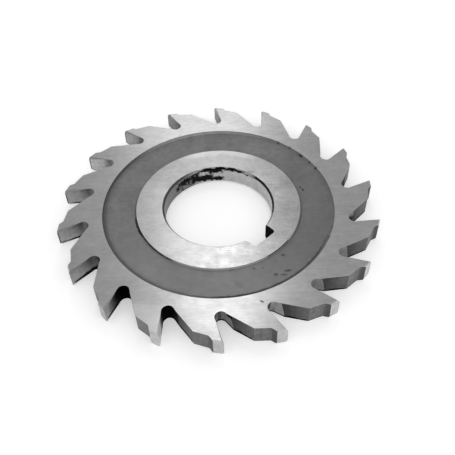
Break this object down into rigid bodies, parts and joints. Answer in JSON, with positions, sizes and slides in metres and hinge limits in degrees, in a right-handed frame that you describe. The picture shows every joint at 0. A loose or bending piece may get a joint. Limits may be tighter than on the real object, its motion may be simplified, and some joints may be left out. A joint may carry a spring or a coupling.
{
  "type": "slotting cutter",
  "caption": "Narrow disc milling cutter with straight peripheral teeth, a recessed web between hub and rim, and a bore with keyway for an arbor.",
  "frame": {"origin": "on the bore axis, at the lower face on which the cutter lies", "axes": "+Z along the bore axis out of the upper face, +X through the middle of the keyway; the teeth cut anticlockwise seen from +Z"},
  "size_m": [0.08, 0.0792, 0.005],
  "materials": {
    "cutter_steel": "ground faces, blackened recess"
  },
  "bodies": {
    "root": {"slotting_cutter": "cutter_steel"}
  },
  "joints": []
}
